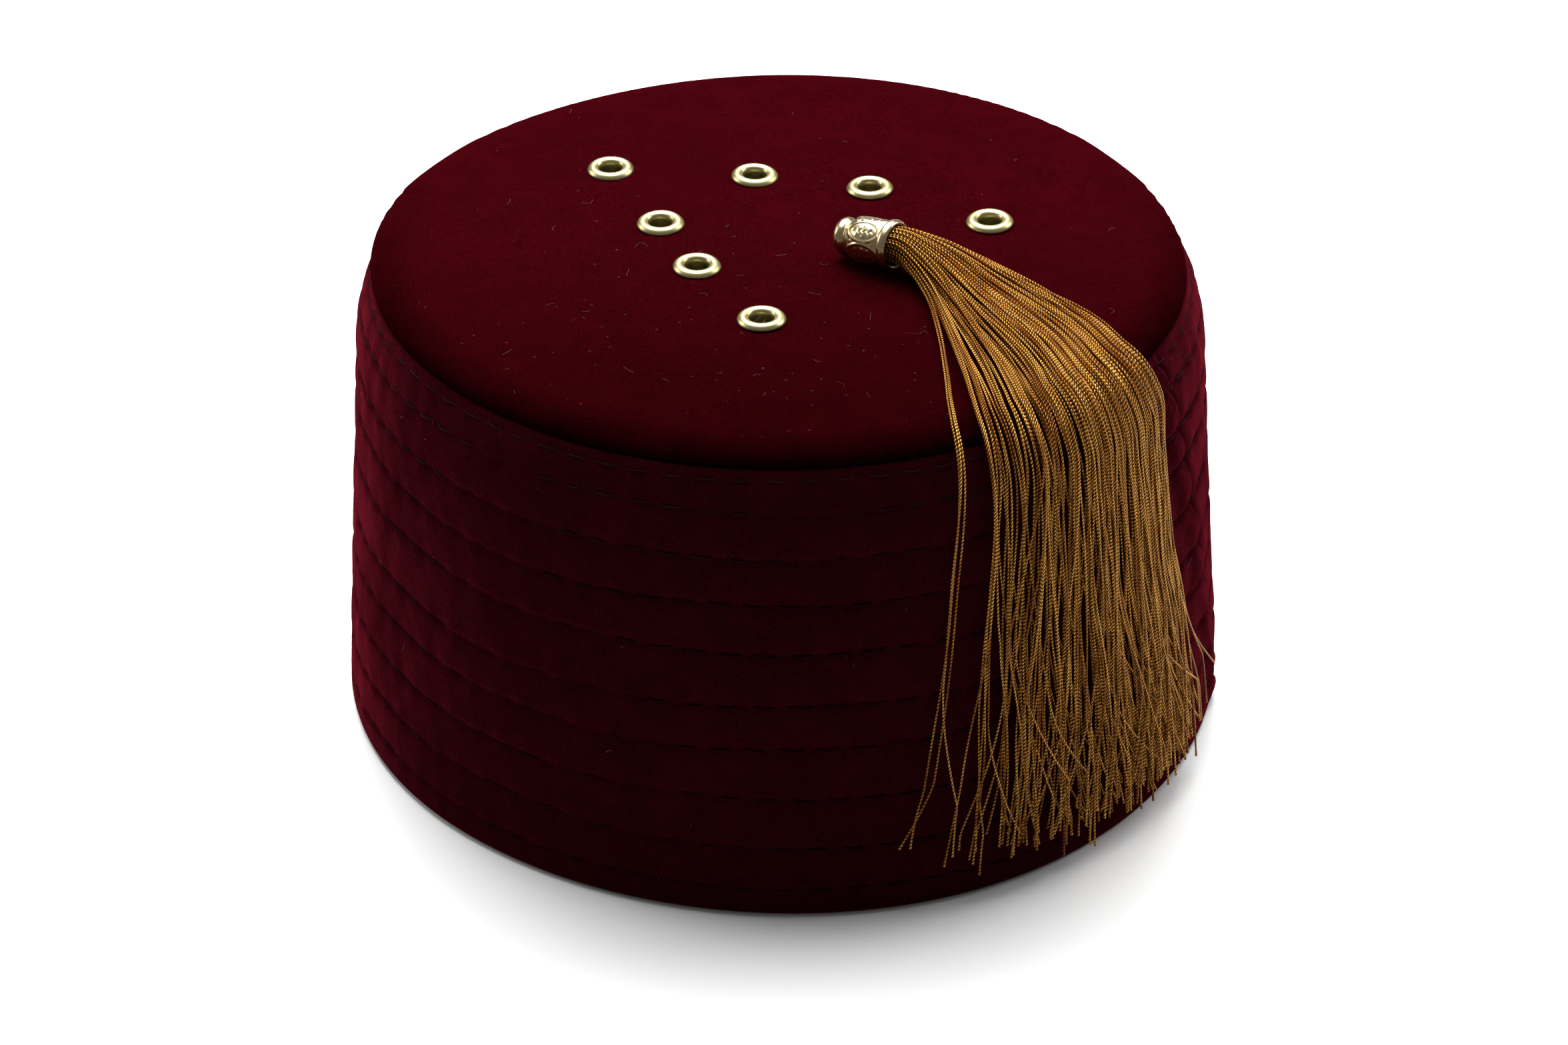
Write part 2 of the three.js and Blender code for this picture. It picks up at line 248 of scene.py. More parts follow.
class Nodes:
    """A material's node tree with a Principled shader."""

    def __init__(self, name):
        self.material = bpy.data.materials.new(name)
        self.material.use_nodes = True
        self.tree = self.material.node_tree
        self.shader = self.tree.nodes["Principled BSDF"]

    def add(self, kind, inputs=None, **settings):
        node = self.tree.nodes.new(kind)
        for key, value in settings.items():
            setattr(node, key, value)
        for key, value in (inputs or {}).items():
            self.put(node, key, value)
        return node

    def put(self, node, key, value):
        if isinstance(value, bpy.types.NodeSocket):
            self.tree.links.new(value, node.inputs[key])
        else:
            node.inputs[key].default_value = value

    def set(self, **inputs):
        for key, value in inputs.items():
            self.put(self.shader, key.replace("_", " "), value)

    def position(self):
        return self.add("ShaderNodeTexCoord").outputs["Object"]

    def noise(self, scale, detail=3, roughness=0.5, vector=None, distortion=0.0):
        inputs = {"Scale": scale, "Detail": detail, "Roughness": roughness,
                  "Distortion": distortion, "Vector": vector or self.position()}
        return self.add("ShaderNodeTexNoise", inputs).outputs["Fac"]

    def ramp(self, value, stops):
        node = self.add("ShaderNodeValToRGB", {"Fac": value})
        elements = node.color_ramp.elements
        while len(elements) < len(stops):
            elements.new(0.5)
        for element, (at, colour) in zip(elements, stops):
            element.position = at
            element.color = (*colour, 1)
        return node.outputs["Color"]

    def mix(self, factor, a, b):
        node = self.add("ShaderNodeMix", data_type="RGBA")
        self.put(node, 0, factor)
        for key, value in ((6, a), (7, b)):
            self.put(node, key, value if isinstance(value, bpy.types.NodeSocket) else (*value, 1))
        return node.outputs[2]

    def math(self, operation, a, b=0.0, clamp=False):
        node = self.add("ShaderNodeMath", operation=operation, use_clamp=clamp)
        self.put(node, 0, a)
        self.put(node, 1, b)
        return node.outputs[0]

    def between(self, value, low, high):
        """0 at low and 1 at high, eased."""
        inputs = {"Value": value, "From Min": low, "From Max": high}
        node = self.add("ShaderNodeMapRange", inputs, interpolation_type="SMOOTHSTEP")
        return node.outputs["Result"]

    def bump(self, height, strength, distance, normal=None):
        inputs = {"Height": height, "Strength": strength, "Distance": distance}
        node = self.add("ShaderNodeBump", inputs)
        if normal is not None:
            self.put(node, "Normal", normal)
        return node.outputs["Normal"]


def velvet(name, base, deep, sheen, sheen_tint, shade=None):
    """Short dense pile: dark seen square on, with a coloured bloom at grazing angles."""
    n = Nodes(name)
    pile = n.between(n.noise(2200, 2, 0.6), 0.35, 0.65)
    nap = n.between(n.noise(130, 5, 0.65, distortion=0.6), 0.32, 0.68)
    patches = n.between(n.noise(22, 3, 0.55), 0.3, 0.7)
    colour = n.mix(n.math("MULTIPLY", nap, 0.7), base, deep)
    colour = n.mix(n.math("MULTIPLY", patches, 0.5), colour, deep)
    colour = n.mix(n.math("MULTIPLY", pile, 0.5), colour, [c * 1.7 for c in base])
    weight = n.math("MULTIPLY", n.math("ADD", patches, 0.5), sheen)
    # painted shade: the base colour and the sheen are darkened by the shade factor
    if shade is not None:
        bright = shade(n)
        colour = n.mix(bright, (0, 0, 0), colour)
        weight = n.math("MULTIPLY", weight, bright)
    bumpy = n.bump(pile, 0.35, 0.00025)
    n.set(Base_Color=colour, Roughness=0.9, Sheen_Weight=weight, Sheen_Roughness=0.3,
          Normal=n.bump(nap, 0.12, 0.0008, bumpy))
    n.put(n.shader, "Specular IOR Level", 0.0)
    n.put(n.shader, "Sheen Tint", (*sheen_tint, 1))
    return n.material


def crown_painted_shade(n):
    """Painted shade: the velvet darkens towards the front, and more over the front of its edge
    roll.
    """
    parts = n.add("ShaderNodeSeparateXYZ", {"Vector": n.position()})
    x, y = parts.outputs["X"], parts.outputs["Y"]
    out = n.math("SQRT", n.math("ADD", n.math("MULTIPLY", x, x), n.math("MULTIPLY", y, y)))
    # painted shade over the front of the edge roll
    edge = n.between(out, 0.0735, 0.084)
    front = n.between(y, 0.045, -0.035)
    dark = n.math("MULTIPLY", n.math("MULTIPLY", edge, front), 0.55)
    # painted shade, darker towards the front of the crown
    lean = n.math("MULTIPLY", n.between(y, 0.02, -0.095), 0.52)
    return n.math("MULTIPLY", n.math("SUBTRACT", 1.0, dark), n.math("SUBTRACT", 1.0, lean))


def woven(name, colour, dark):
    """Plain woven cloth, threads about 0.5 mm apart."""
    n = Nodes(name)
    where = n.position()
    waves = [
        n.add("ShaderNodeTexWave", {"Scale": 330, "Distortion": 0.6, "Detail": 1, "Vector": where},
              bands_direction=d).outputs["Fac"] for d in ("X", "Y", "Z")
    ]
    weave = n.math("MAXIMUM", n.math("MAXIMUM", waves[0], waves[1]), waves[2])
    tone = n.mix(n.math("MULTIPLY", n.noise(60, 3), 0.6), colour, dark)
    n.set(Base_Color=n.mix(n.math("MULTIPLY", weave, 0.35), tone, dark), Roughness=0.85,
          Normal=n.bump(weave, 0.4, 0.00015))
    n.put(n.shader, "Specular IOR Level", 0.2)
    return n.material


def metal(name, light, dark, roughness, wear):
    """Polished metal with faint rubbing, dulled in patches."""
    n = Nodes(name)
    dull = n.noise(180, 5, 0.65)
    rub = n.noise(900, 2, 0.5, distortion=1.0)
    n.set(Base_Color=n.mix(n.math("MULTIPLY", dull, wear, clamp=True), light, dark), Metallic=1.0,
          Roughness=n.math("ADD", n.math("MULTIPLY", dull, 0.18), roughness),
          Normal=n.bump(rub, 0.06, 0.0001))
    return n.material


def twisted(name, light, brown, painted_groove_shade, roughness, gloss, lustre=0.0):
    """Two-ply twisted thread: slanting grooves follow the UV, which runs round and along it."""
    n = Nodes(name)
    uv = n.add("ShaderNodeUVMap", uv_map="UVMap").outputs["UV"]
    parts = n.add("ShaderNodeSeparateXYZ", {"Vector": uv})
    turn = n.math("MULTIPLY", parts.outputs["X"], 2 * TAU)  # two plies
    phase = n.math("ADD", n.math("MULTIPLY", parts.outputs["Y"], TAU / TWIST_PITCH), turn)
    ply = n.math("ADD", n.math("MULTIPLY", n.math("SINE", phase), 0.5), 0.5)
    along = n.math("MULTIPLY", parts.outputs["Y"], 0.031)
    place = n.add("ShaderNodeCombineXYZ", {"X": along, "Y": 0.4}).outputs[0]
    tone = n.ramp(n.noise(1.0, 2, 0.6, vector=place), [(0.38, brown), (0.58, light)])
    # Painted shade: the colour darkens in the grooves between the plies.
    groove = n.mix(ply, [c * painted_groove_shade for c in brown], tone)
    n.set(Base_Color=groove, Roughness=roughness, Metallic=lustre,
          Normal=n.bump(ply, 1.0, 0.0003))
    n.put(n.shader, "Specular IOR Level", gloss)
    n.put(n.shader, "Specular Tint", (1.0, 0.8, 0.45, 1))
    return n.material


# The band's velvet has a darker base and deep colour than the crown's: painted shade on the side
# wall, which the overhead light hardly reaches.
CROWN_VELVET = velvet("crown_velvet", (0.02, 0.0005, 0.0014), (0.01, 0.0003, 0.0007), 0.05,
                      (1.0, 0.03, 0.08), crown_painted_shade)
BAND_VELVET = velvet("band_velvet", (0.0155, 0.0009, 0.002), (0.006, 0.0004, 0.0009), 0.145,
                     (1.0, 0.06, 0.12))
BACKING = woven("backing_cloth", (0.09, 0.012, 0.02), (0.035, 0.005, 0.009))
BRASS = metal("eyelet_brass", (0.46, 0.41, 0.2), (0.27, 0.22, 0.09), 0.26, 0.55)
PALE_GOLD = metal("cap_metal", (0.56, 0.45, 0.26), (0.34, 0.21, 0.1), 0.15, 0.5)
GOLD_THREAD = twisted("tassel_thread", (0.96, 0.465, 0.088), (0.37, 0.105, 0.01),
                      0.08, 0.32, 0.24, 0.5)
# One sewing thread in a lit copy for the upper rows and a darker copy for the lower rows: painted
# shade.
SEWING_LIT = twisted("sewing_thread", (0.028, 0.007, 0.008), (0.016, 0.004, 0.005),
                       0.5, 0.7, 0.02)
SEWING_SHADED = twisted("sewing_thread_shaded", (0.017, 0.004, 0.005), (0.01, 0.002, 0.003),
                      0.5, 0.7, 0.01)
TIE_THREAD = twisted("tie_thread", (0.3, 0.17, 0.06), (0.16, 0.08, 0.03), 0.5, 0.6, 0.3)


# ---------------------------------------------------------------- side band

def out_of_round(az, share):
    """Extra radius; share is 0 at the rim and 1 at the neck."""
    total = 0
    for lobes, rim_cos, rim_sin, neck_cos, neck_sin in OUT_OF_ROUND:
        rim = rim_cos * np.cos(lobes * az) + rim_sin * np.sin(lobes * az)
        neck = neck_cos * np.cos(lobes * az) + neck_sin * np.sin(lobes * az)
        total = total + rim * (1 - share) + neck * share
    return total


def band_radius(z):
    """The band's plain outside: a straight flare, then a round shoulder."""
    z = np.asarray(z, float)
    flare = RIM_RADIUS + (SHOULDER_RADIUS - RIM_RADIUS) * z / SHOULDER_Z
    rise = np.clip((z - SHOULDER_Z) / (BAND_TOP_Z - SHOULDER_Z), 0, 1)
    shoulder = NECK_RADIUS + (SHOULDER_RADIUS - NECK_RADIUS) * (1 - rise ** 2) ** 0.9
    return np.where(z <= SHOULDER_Z, flare, shoulder)


ROW_PHASE = rng.uniform(0, TAU, (len(STITCH_ROWS), 4))
ROW_SINK = np.array([0.3, 0.32, 0.33, 0.32, 0.32, 0.32, 0.3, 0.28, 0.24, 0.1])


def row_wander(k, az):
    """How far stitch row k strays from its level."""
    a, b, c, _ = ROW_PHASE[k]
    size = 0.4 if k < len(STITCH_ROWS) - 1 else 0.12
    return size * (np.sin(2 * az + a) + 0.5 * np.sin(5 * az + b) + 0.35 * np.sin(11 * az + c))


def wandering(az, v):
    """Stray of the cloth at level v, blended between the rows next to it."""
    strays = [0 * az, *[row_wander(k, az) for k in range(len(STITCH_ROWS))], 0 * az]
    total = np.zeros(np.broadcast(az, v).shape)
    for i, (low, high) in enumerate(zip(ROW_BOUNDS, ROW_BOUNDS[1:])):
        share = np.clip((v - low) / (high - low), 0, 1)
        inside = (v >= low) & (v < high)
        total = np.where(inside, strays[i] * (1 - share) + strays[i + 1] * share, total)
    return total


PUFF_WAVES = rng.uniform(0, TAU, (len(STITCH_ROWS) + 1, 3))


def quilting(az, v):
    """How far the padded cloth stands off its plain outline at level v."""
    lift = 0 * (az + v)
    for k, row in enumerate(STITCH_ROWS):
        d = v - row
        stitch = np.cos(STITCHES_AROUND * az + ROW_PHASE[k][3])
        sink = ROW_SINK[k]
        lift = lift - sink * (0.9 - 0.45 * stitch) * bell(d, 0.9) - 0.25 * sink * bell(d, 2.3)
        lift = lift + 0.3 * sink * stitch * bell(np.abs(d) - 2.0, 1.5)
    for (low, high), (a, b, c) in zip(zip(ROW_BOUNDS, STITCH_ROWS), PUFF_WAVES):
        share = np.clip((v - low) / (high - low), 0, 1)
        swell = (1 + 0.25 * np.sin(9 * az + a) + 0.2 * np.sin(23 * az + b)
                 + 0.12 * np.sin(41 * az + c))
        span = min((high - low) / 11, 1)
        lift = lift + 0.17 * span * swell * np.sin(math.pi * share) ** 0.8
    return lift


def lap(az, v):
    """The lapped seam: raised on the tassel's side, with an edge scalloped between rows."""
    x = (az - LAP_AZIMUTH - LAP_LEAN * (BAND_TOP_Z - v) + math.pi) % TAU - math.pi
    x = x * band_radius(v)
    scallop = np.zeros(np.broadcast(az, v).shape)
    for low, high in zip(ROW_BOUNDS, ROW_BOUNDS[1:]):
        share = np.clip((v - low) / (high - low), 0, 1)
        scallop = scallop + np.where((v >= low) & (v < high), np.sin(math.pi * share) ** 0.7, 0)
    edge = 1.5 * scallop
    height = 0.22 + 0.6 * scallop
    raised = smoothstep(x, edge - 8.5, edge - 2.6) * (1 - smoothstep(x, edge - 0.5, edge + 0.45))
    crease = -0.3 * bell(x - edge - 0.9, 0.6) + 0.16 * scallop * bell(x - edge - 4.2, 1.5)
    fade = 1 - smoothstep(v, 97.5, 99)
    return (raised * height + crease) * fade


BAND_UNEVEN = 0.22


def band_levels():
    """Levels up the outside, close together across each stitch row."""
    levels = [HEM_RADIUS]
    for row in STITCH_ROWS:
        levels += [row + d for d in (-2.3, -1.5, -1.0, -0.6, -0.3, 0, 0.3, 0.6, 1.0, 1.5, 2.3)]
    levels = sorted(v for v in levels if v <= SHOULDER_Z + 17.6)
    full = [levels[0]]
    for v in levels[1:]:
        gap = v - full[-1]
        if gap < 0.2:
            continue
        steps = max(1, math.ceil(gap / 1.5))
        full += [full[-1] + gap * (s + 1) / steps for s in range(steps)]
    return [*full, 98.75, 98.9, 98.98]


def band_columns():
    """Turns round the band from the lap seam, closer together beside the seam."""
    fine = np.arange(-9, 4, 0.4) / MIDDLE_RADIUS
    rest = np.linspace(fine[-1], TAU + fine[0], 500)[1:-1]
    return np.concatenate([fine, rest])


def band_surface(az, v, uneven=0.0):
    """Radius and height of the band's outside."""
    share = np.clip(v / SHOULDER_Z, 0, 1)
    fade = smoothstep(v, 0, 4) * (1 - 0.7 * smoothstep(v, 97, 99))
    lift = quilting(az, v) * fade + lap(az, v) * smoothstep(v, 0, 3) + uneven
    slope = np.clip((v - SHOULDER_Z) / (BAND_TOP_Z - SHOULDER_Z), 0, 1)
    radius = band_radius(v) + out_of_round(az, share) + lift * (1 - 0.5 * slope ** 6)
    height = v + wandering(az, v) + 0.5 * lift * slope ** 6
    return radius, np.minimum(height, BAND_TOP_Z + 0.05)


def side_band():
    """The padded wall as one closed skin: hem, velvet outside, top, cloth inside, hem."""
    turns = band_columns()
    levels = np.array(band_levels())
    lean = LAP_LEAN * (BAND_TOP_Z - levels)
    az = LAP_AZIMUTH + turns[None, :] + lean[:, None]
    v = np.repeat(levels[:, None], len(turns), 1)
    uneven = BAND_UNEVEN * ripple(az, v, 9, (2, 16), 70) * smoothstep(v, 0, 6)
    uneven = uneven + 0.1 * ripple(az, v, 12, (20, 60), 14) * smoothstep(v, 2, 8)
    uneven = uneven * (1 - smoothstep(v, 94, 99))
    outside = band_surface(az, v, uneven)

    def ring(radius, height, az_row, share):
        return radius + out_of_round(az_row, share), np.full_like(az_row, height), az_row

    def hem(degrees):
        middle = float(band_radius(HEM_RADIUS)) - HEM_RADIUS
        for turn in np.radians(degrees):
            yield ring(middle + HEM_RADIUS * math.cos(turn),
                       HEM_RADIUS + HEM_RADIUS * math.sin(turn), az[0], 0)

    rows = [*hem([-75, -55, -35, -15]), *zip(*outside, az)]
    inside_from = len(rows) + 1
    for radius, height in ((NECK_RADIUS - 1.2, 99.0), (NECK_RADIUS - 2.4, 98.9), (82.0, 98.4)):
        rows.append(ring(radius, height, az[-1], 1))
    for z in [97, 95, 91, 87, 82, *np.arange(78, 2, -4.0), HEM_RADIUS]:
        inner_az = LAP_AZIMUTH + turns + LAP_LEAN * (BAND_TOP_Z - z)
        dent = sum(0.3 * bell(z - row, 1.6) for row in STITCH_ROWS)
        radius = float(band_radius(z)) - BAND_THICKNESS - 0.25 * dent
        rows.append(ring(radius, z, inner_az, min(z / SHOULDER_Z, 1)))
    rows += hem([-165, -145, -125, -105])
    points = np.stack([
        np.stack([r * np.cos(a), r * np.sin(a), z], -1) for r, z, a in rows
    ])
    faces = wrapped_grid(len(rows), len(turns))[:, ::-1]
    row_of = faces.min(1) // len(turns)
    slots = ((row_of >= inside_from) & (row_of < len(rows) - 2)).astype(int)
    band = mesh_object("velvet_side_band", points.reshape(-1, 3), faces.tolist(),
                       [BAND_VELVET, BACKING], slots=slots)
    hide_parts("side_band")
    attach(band, "root")


def stitching():
    """Running stitches: each dash dips into the cloth at both ends."""
    share = np.linspace(0, 1, 8)
    # The lower rows take the darker copy of the thread: painted shade.
    for name, wanted, material in (
        ("band_stitches_upper", range(7, 10), SEWING_LIT),
        ("band_stitches_lower", range(0, 7), SEWING_SHADED),
    ):
        paths = []
        for k in wanted:
            phase = ROW_PHASE[k][3]
            for s in range(STITCHES_AROUND):
                centre = (TAU * s - phase) / STITCHES_AROUND
                half = TAU / STITCHES_AROUND * STITCH_SHARE / 2 * rng.uniform(0.88, 1.1)
                az = centre + half * (2 * share - 1)
                tilt = rng.normal(0, 0.1) * (2 * share - 1)
                radius, height = band_surface(az, STITCH_ROWS[k] + tilt)
                radius = radius + 0.3 * np.sin(math.pi * share) ** 0.6 - 0.16
                paths.append(np.stack([radius * np.cos(az), radius * np.sin(az), height], -1))
        paths = np.array(paths)
        outward = paths * [1, 1, 0]
        piece = tubes(name, paths, STITCH_RADIUS, 6, outward, [material])
        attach(piece, "root")


# ---------------------------------------------------------------- crown

EDGE_WIDTH = NECK_RADIUS - CROWN_FLAT_RADIUS
EDGE_DROP = CROWN_TOP_Z - CROWN_DOME - CROWN_UNDERSIDE_Z - 0.55
EDGE_STEPS = 60
TUCK = 1.2
FULL_AZIMUTH = math.radians(158)  # where the crown reaches furthest over the band
FULL_REACH = 1.3


def edge_curve():
    """Length, radius and height along the crown's edge, from the flat to the seam under it."""
    turn = np.linspace(0, math.pi / 2, EDGE_STEPS)
    r = CROWN_FLAT_RADIUS + EDGE_WIDTH * np.sin(turn)
    z = CROWN_TOP_Z - CROWN_DOME - EDGE_DROP * (1 - np.cos(turn))
    under = np.linspace(0, 1, 8)[1:]
    r = np.concatenate([r, NECK_RADIUS - TUCK * under ** 1.5])
    z = np.concatenate([z, z[-1] - 0.5 * under ** 0.7])
    s = np.concatenate([[0], np.cumsum(np.hypot(np.diff(r), np.diff(z)))])
    return s + CROWN_FLAT_RADIUS, r, z


EDGE_S, EDGE_R, EDGE_Z = edge_curve()
CROWN_REACH = EDGE_S[-1]
CROWN_EDGE_POINTS = 420
CROWN_STEP = 1.55
ROW_SHARE = 0.866  # rows of a triangular grid lie this share of its step apart
LINING_FLAT_RADIUS = 70


def eyelet_places():
    """Name, centre and the low and high corner of each CAD eyelet."""
    boxes = [(name, *box_mm(name)) for name in EYELETS]
    return [(name, (low + high) / 2, low, high) for name, low, high in boxes]


def crown():
    """One closed sheet of triangles in two layers: velvet above and round the edge, cloth below."""
    holes = [(centre[0], centre[1], EYELET_HOLE, 28) for _, centre, _, _ in eyelet_places()]
    tie = sum(box_mm("tassel_tie")) / 2
    holes.append((tie[0], tie[1], TIE_HOLE, 14))
    points, edges = [], []

    def loop(cx, cy, radius, count):
        start = len(points)
        for k in range(count):
            a = TAU * k / count
            points.append((cx + radius * math.cos(a), cy + radius * math.sin(a)))
            edges.append((start + k, start + (k + 1) % count))

    for inset in (0, 0.6, 1.2):
        loop(0, 0, CROWN_REACH - inset, CROWN_EDGE_POINTS)
    for hole in holes:
        loop(*hole)
    rows = int(CROWN_REACH / (CROWN_STEP * ROW_SHARE)) + 1
    for i in range(-rows, rows + 1):
        for j in range(-rows - 10, rows + 11):
            x, y = (j + 0.5 * (i % 2)) * CROWN_STEP, i * CROWN_STEP * ROW_SHARE
            if math.hypot(x, y) > CROWN_REACH - 2.0:
                continue
            if any(math.hypot(x - cx, y - cy) < radius + 0.5 for cx, cy, radius, _ in holes):
                continue
            points.append((x, y))
    placed, _, triangles, *_ = delaunay_2d_cdt([Vector(p) for p in points], edges, [], 0, 1e-6)
    flat = np.array([tuple(p) for p in placed])
    triangles = np.array(triangles)
    middle = flat[triangles].mean(1)
    keep = np.hypot(*middle.T) < CROWN_REACH
    for cx, cy, radius, _ in holes:
        keep &= np.hypot(middle[:, 0] - cx, middle[:, 1] - cy) > radius * 0.98
    triangles = triangles[keep]
    a, b, c = (flat[triangles[:, i]] for i in range(3))
    (bx, by), (cx, cy) = (b - a).T, (c - a).T
    turned_over = bx * cy < by * cx
    triangles[turned_over] = triangles[turned_over][:, ::-1]

    s = np.hypot(*flat.T)
    az = np.arctan2(flat[:, 1], flat[:, 0])
    r = np.where(s < CROWN_FLAT_RADIUS, s, np.interp(s, EDGE_S, EDGE_R))
    z = np.where(s < CROWN_FLAT_RADIUS, CROWN_TOP_Z - CROWN_DOME * (s / CROWN_FLAT_RADIUS) ** 2,
                 np.interp(s, EDGE_S, EDGE_Z))
    sway = 0.16 * ripple(az, s, 8, (1, 5), 90)
    sway = sway * smoothstep(s, 5, 50) * (1 - smoothstep(s, 80, 86))
    pinch = sum(bell(np.hypot(flat[:, 0] - cx, flat[:, 1] - cy) - radius, 3.0) * 0.22
                for cx, cy, radius, _ in holes[:len(EYELETS)])
    z = z + sway - pinch
    r_top = r + out_of_round(az, 1) * smoothstep(s, 30, 80)
    full = bell((az - FULL_AZIMUTH + math.pi) % TAU - math.pi, 0.5)
    r_top = r_top + FULL_REACH * full * smoothstep(s, 50, 80)
    top = np.stack([r_top * np.cos(az), r_top * np.sin(az), z], -1)
    room, wanted = EDGE_R[-1] - 0.3 - LINING_FLAT_RADIUS, CROWN_REACH - LINING_FLAT_RADIUS
    squeezed = LINING_FLAT_RADIUS + (s - LINING_FLAT_RADIUS) * room / wanted
    lining_r = np.where(s < LINING_FLAT_RADIUS, s, squeezed)
    lining_r = lining_r + out_of_round(az, 1) * smoothstep(s, 30, 80)
    below = np.stack([lining_r * np.cos(az), lining_r * np.sin(az),
                      np.full_like(s, CROWN_UNDERSIDE_Z)], -1)
    count = len(flat)
    sides = np.concatenate([triangles[:, [0, 1]], triangles[:, [1, 2]], triangles[:, [2, 0]]])
    known = {tuple(e) for e in sides.tolist()}
    rim = [(i, j) for i, j in known if (j, i) not in known]
    walls = [[j, i, i + count, j + count] for i, j in sorted(rim)]
    faces = [*triangles.tolist(), *(triangles[:, ::-1] + count).tolist(), *walls]
    slots = [0] * len(triangles) + [1] * (len(triangles) + len(walls))
    piece = mesh_object("velvet_crown", np.vstack([top, below]), faces, [CROWN_VELVET, BACKING],
                        slots=slots)
    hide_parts("crown")
    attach(piece, "root")


# ---------------------------------------------------------------- eyelets

def eyelets():
    """A rolled flange, a plain barrel and a spread foot, a little dented by its setting."""
    bore, barrel, flange, columns = 2.45, 2.95, 5.0, 72
    for number, (name, centre, low, high) in enumerate(eyelet_places()):
        foot, seat = low[2], high[2] - 1.15
        roll = [
            (bore, seat - 1.2), (bore + 0.02, seat - 0.2), (bore + 0.14, seat + 0.35),
            (bore + 0.4, seat + 0.8), (bore + 0.85, seat + 1.06), (bore + 1.4, seat + 1.14),
            (bore + 1.95, seat + 0.93), (flange - 0.2, seat + 0.55), (flange, seat + 0.18),
            (flange - 0.02, seat - 0.08), (flange - 0.25, seat - 0.16), (flange - 0.7, seat - 0.05),
            (barrel + 0.4, seat + 0.02), (barrel, seat - 0.25), (barrel, foot + 1.0),
            (barrel + 0.5, foot + 0.72), (barrel + 1.0, foot + 0.72), (barrel + 1.4, foot + 0.8),
            (barrel + 1.5, foot + 0.45), (barrel + 1.1, foot + 0.08), (barrel + 0.5, foot),
            (bore + 0.3, foot + 0.25), (bore + 0.05, foot + 0.7), (bore, foot + 1.2),
        ]
        profile = smooth_curve([*roll, roll[0]], 110)[:-1]
        grid = turned(profile, columns)
        az = np.arctan2(grid[..., 1], grid[..., 0])
        tilt = rng.normal(0, 0.012, 2)
        grid[..., 2] += grid[..., 0] * tilt[0] + grid[..., 1] * tilt[1]
        radial = np.hypot(grid[..., 0], grid[..., 1])
        grid[..., 2] += 0.03 * np.sin(3 * az + number) * smoothstep(radial, 3, 5)
        grid += [centre[0], centre[1], 0]
        faces = wrapped_grid(len(profile), columns)[:, ::-1]
        piece = mesh_object(f"brass_{name}", grid.reshape(-1, 3), faces.tolist(), [BRASS])
        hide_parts(name)
        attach(piece, "root")


# ---------------------------------------------------------------- tassel

def cap_relief(along, around):
    """Embossing on the cap's barrel, in mm: six oval leaves, each with a vein and beads.

    along runs from -4 to 4 about the barrel's middle, and around is measured along its girth.
    """
    pitch = TAU * CAP_BARREL_RADIUS / 6
    y = (around + pitch / 2) % pitch - pitch / 2
    q = np.hypot(along / 3.8, y / 2.3)
    lift = 0.27 * bell(q - 0.97, 0.11)
    lift = lift + 0.04 * (1 - smoothstep(q, 0.72, 0.9))
    zigzag = 0.3 * (np.abs((along / 0.6) % 2 - 1) * 2 - 1)
    lift = lift - 0.16 * bell(y - zigzag, 0.15) * (1 - smoothstep(q, 0.55, 0.7))
    for x0, y0 in ((-1.5, 1.0), (0.1, 1.2), (1.6, 0.9), (-1.5, -1.0), (0.1, -1.2), (1.6, -0.9)):
        lift = lift + 0.08 * bell(np.hypot(along - x0, y - y0), 0.27)
    far = np.abs(y) - pitch / 2
    for x0 in (-2.6, 2.6):
        lift = lift + 0.2 * bell(np.hypot(along - x0, far), 0.36)
    return lift


